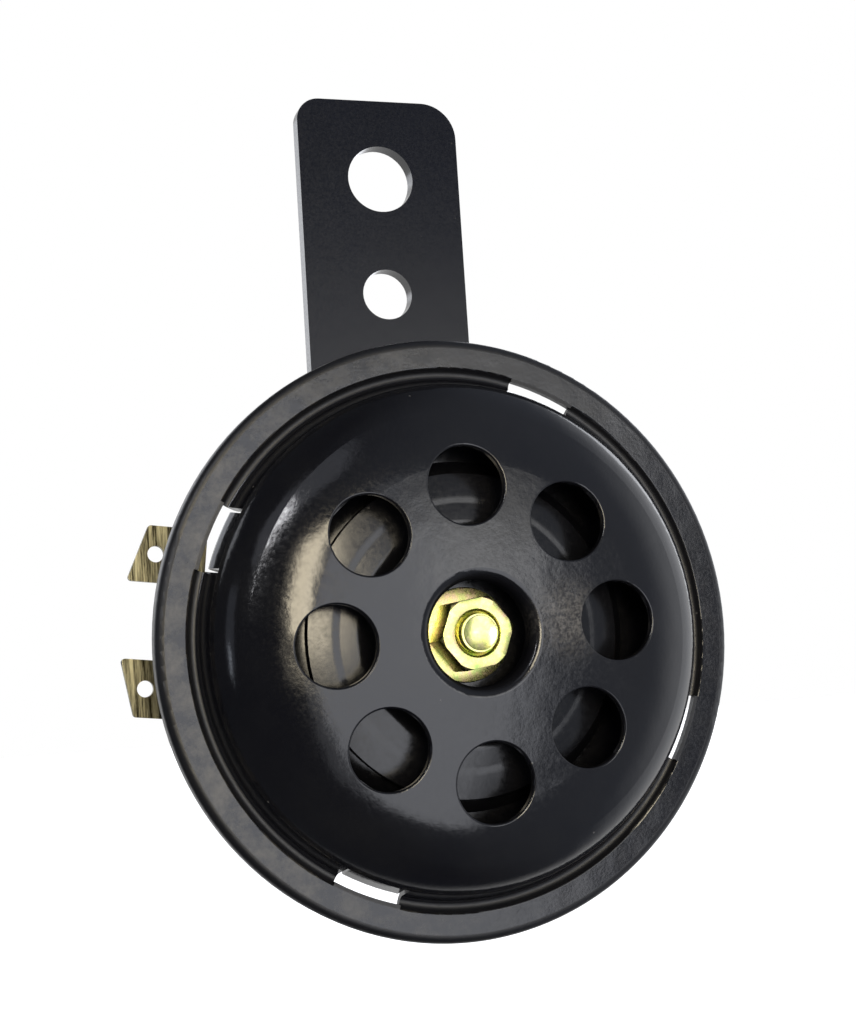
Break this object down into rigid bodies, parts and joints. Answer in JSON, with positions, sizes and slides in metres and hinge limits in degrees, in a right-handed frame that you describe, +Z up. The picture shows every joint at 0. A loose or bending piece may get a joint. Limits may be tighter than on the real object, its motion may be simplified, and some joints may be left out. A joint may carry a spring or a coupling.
{
  "type": "car horn",
  "caption": "Round electric disc horn: domed front dish with sound holes and a centre nut, drum housing with coil and contacts, flat mounting strip with two holes, side spade terminals.",
  "frame": {"origin": "centre of the mounting strip's upper hole, on the strip's rear face", "axes": "+Z up along the strip, +Y rearward out of the upper hole, -Y the way the horn faces, +X to the right as seen from the front"},
  "size_m": [0.0657, 0.0349, 0.0968],
  "materials": {
    "black_enamel": "satin black stoved enamel",
    "bracket_black": "satin black enamel",
    "tone_black": "dark coated steel",
    "fibre": "vulcanised fibre",
    "spring_steel": "blued spring steel",
    "soft_iron": "turned, oiled",
    "zinc_plate": "clear zinc plated",
    "yellow_zinc": "yellow passivated zinc",
    "bobbin_plastic": "moulded nylon",
    "copper_wire": "enamelled copper wire",
    "laminate": "phenolic laminate",
    "tin_plate": "dull tin plate",
    "rivet_brass": "plain brass",
    "contact_metal": "tungsten contact"
  },
  "bodies": {
    "horn": {"front_dish": "black_enamel", "housing": "black_enamel", "bracket": "bracket_black", "front_gasket": "fibre", "rear_gasket": "fibre", "diaphragm": "spring_steel", "core": "zinc_plate", "coil_bobbin": "bobbin_plastic", "coil_winding": "copper_wire", "bracket_spring_washer": "zinc_plate", "bracket_nut": "zinc_plate", "terminal_board": "laminate", "terminal_insulator": "laminate", "terminal_upper": "tin_plate", "terminal_lower": "tin_plate", "terminal_rivet_upper": "rivet_brass", "terminal_rivet_lower": "rivet_brass", "breaker_bracket": "soft_iron", "breaker_insulator_rear": "laminate", "breaker_insulator_middle": "laminate", "breaker_insulator_front": "laminate", "fixed_contact_arm": "rivet_brass", "fixed_contact": "contact_metal", "breaker_rivet_pin": "rivet_brass", "lock_nut": "zinc_plate"},
    "vibrator": {"armature": "soft_iron", "centre_stud": "yellow_zinc", "spacer_bush": "zinc_plate", "tone_disc": "tone_black", "flange_nut": "yellow_zinc"},
    "contact_leaf": {"moving_contact_arm": "rivet_brass", "moving_contact": "contact_metal", "contact_button": "laminate"},
    "adjuster": {"adjusting_screw": "zinc_plate"}
  },
  "joints": [
    {"name": "diaphragm_stroke", "type": "slide", "parent": "horn", "child": "vibrator", "axis": [0, -1, 0], "range_m": [-0.00055, 0.00055], "stiffness_N_per_m": 5000, "deforming": ["diaphragm"]},
    {"name": "contact_flex", "type": "hinge", "parent": "horn", "child": "contact_leaf", "pos_m": [-0.00268, -0.01533, -0.07039], "axis": [-0.9848, 0, 0.1736], "range_deg": [0, 2], "stiffness_Nm_per_rad": 0.02, "deforming": ["moving_contact_arm"]},
    {"name": "adjusting_turn", "type": "hinge", "parent": "horn", "child": "adjuster", "pos_m": [0.00364, -0.0076, -0.07314], "axis": [0, 1, 0], "range_deg": [-180, 180]}
  ]
}
